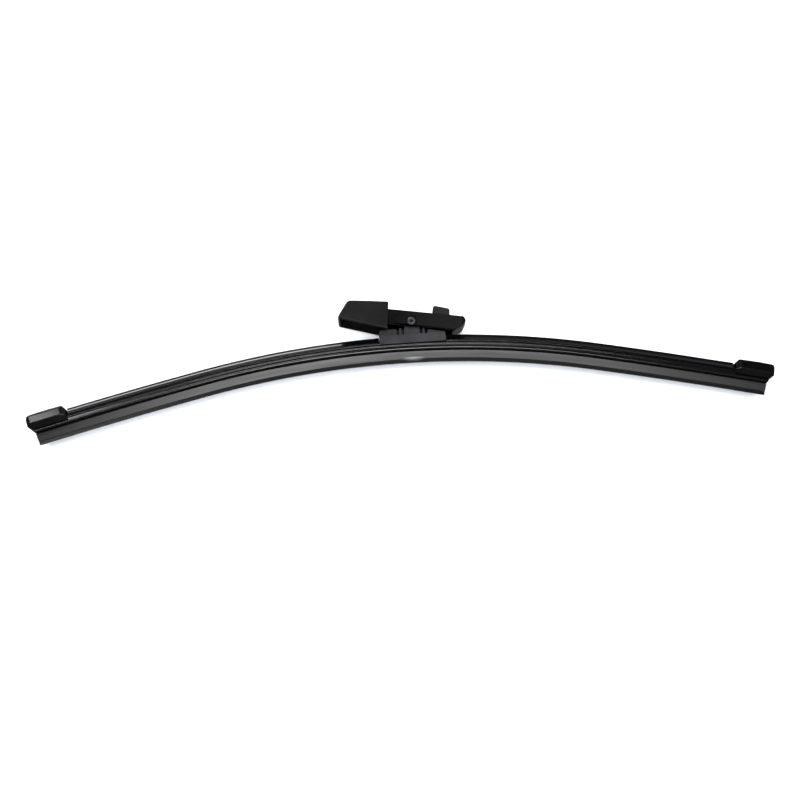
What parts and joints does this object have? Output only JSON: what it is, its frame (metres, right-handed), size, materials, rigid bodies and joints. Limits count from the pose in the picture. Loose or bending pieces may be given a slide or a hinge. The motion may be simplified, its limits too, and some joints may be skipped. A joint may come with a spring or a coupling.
{
  "type": "wiper blade",
  "caption": "Rear beam wiper blade with a curved rubber lip, spoiler fin, end caps and a rocking arm adaptor with a spring-tongue lock button.",
  "frame": {"origin": "middle of the rivet on which the arm adaptor rocks, in the blade's middle plane", "axes": "+X along the blade, from the covered end of the adaptor to its open nose; +Y away from the glass, towards the wiper arm; +Z across the blade, up as it lies on its side"},
  "size_m": [0.3924, 0.0654, 0.0164],
  "materials": {
    "blade_rubber": "graphite-coated black rubber, satin with a fine drag grain",
    "rail_steel": "spring steel, black coated",
    "spoiler_plastic": "soft extruded plastic, satin black",
    "cap_plastic": "moulded plastic, fine satin black",
    "base_plastic": "glass-filled moulded plastic, dark grey",
    "rivet_steel": "blackened tube rivet with rolled heads",
    "adaptor_plastic": "moulded plastic, smooth satin black",
    "cover_plastic": "moulded plastic, fine matte black",
    "button_plastic": "moulded plastic, satin charcoal"
  },
  "bodies": {
    "blade": {"squeegee": "blade_rubber", "rail_upper": "rail_steel", "rail_lower": "rail_steel", "spoiler": "spoiler_plastic", "end_cap_left": "cap_plastic", "end_cap_right": "cap_plastic", "base": "base_plastic", "pivot_rivet": "rivet_steel"},
    "adaptor": {"adaptor_body": "adaptor_plastic", "adaptor_cover": "cover_plastic"},
    "button": {"lock_button": "button_plastic"}
  },
  "joints": [
    {"name": "adaptor_rock", "type": "hinge", "parent": "blade", "child": "adaptor", "pos_m": [0, 0, 0], "axis": [0, 0, 1], "range_deg": [-1, 14]},
    {"name": "button_press", "type": "hinge", "parent": "adaptor", "child": "button", "pos_m": [0.02479, -0.00152, 0], "axis": [0, 0, 1], "range_deg": [0, 19], "stiffness_Nm_per_rad": 0.5}
  ]
}
